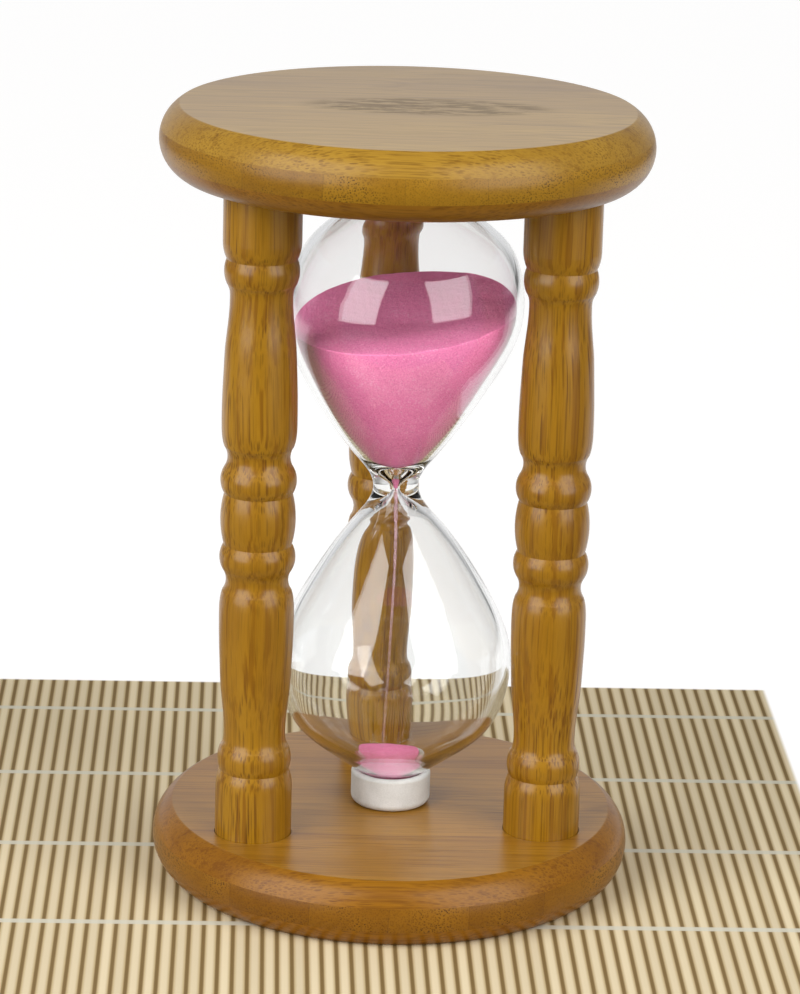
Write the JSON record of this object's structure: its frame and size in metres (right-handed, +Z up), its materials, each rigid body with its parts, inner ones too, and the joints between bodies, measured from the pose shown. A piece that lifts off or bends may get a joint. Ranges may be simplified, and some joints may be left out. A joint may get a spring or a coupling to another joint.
{
  "type": "hourglass",
  "caption": "Sand timer: a sealed glass with two bulbs, seated on soft rings between two round laminated plates on turned posts.",
  "frame": {"origin": "middle of the underside of the base plate", "axes": "+Z up through the waist of the glass; two posts stand at the front (-Y), one at the back (+Y)"},
  "size_m": [0.12, 0.12, 0.1945],
  "materials": {
    "plate_bamboo": "varnished bamboo, satin, grain across the plate",
    "plate_core_bamboo": "varnished bamboo, satin, grain from front to back, end grain at the front of the edge",
    "post_bamboo": "turned and varnished bamboo, semi-gloss, fibres along the post",
    "seat_rubber": "matte white soft rubber",
    "clear_glass": "clear blown glass",
    "pink_sand": "fine dyed sand, matte with a few sparkling grains"
  },
  "bodies": {
    "frame": {"base_outer_ply": "plate_bamboo", "base_core_ply": "plate_core_bamboo", "base_inner_ply": "plate_bamboo", "top_inner_ply": "plate_bamboo", "top_core_ply": "plate_core_bamboo", "top_outer_ply": "plate_bamboo", "left_post": "post_bamboo", "right_post": "post_bamboo", "back_post": "post_bamboo", "lower_seat_ring": "seat_rubber", "upper_seat_ring": "seat_rubber"},
    "glass": {"upper_bulb": "clear_glass", "lower_bulb": "clear_glass", "upper_sand": "pink_sand", "sand_stream": "pink_sand", "lower_sand": "pink_sand"}
  },
  "joints": [
    {"name": "glass_turn", "type": "hinge", "parent": "frame", "child": "glass", "pos_m": [0, 0, 0.0995], "axis": [0, 0, 1], "continuous": true}
  ]
}
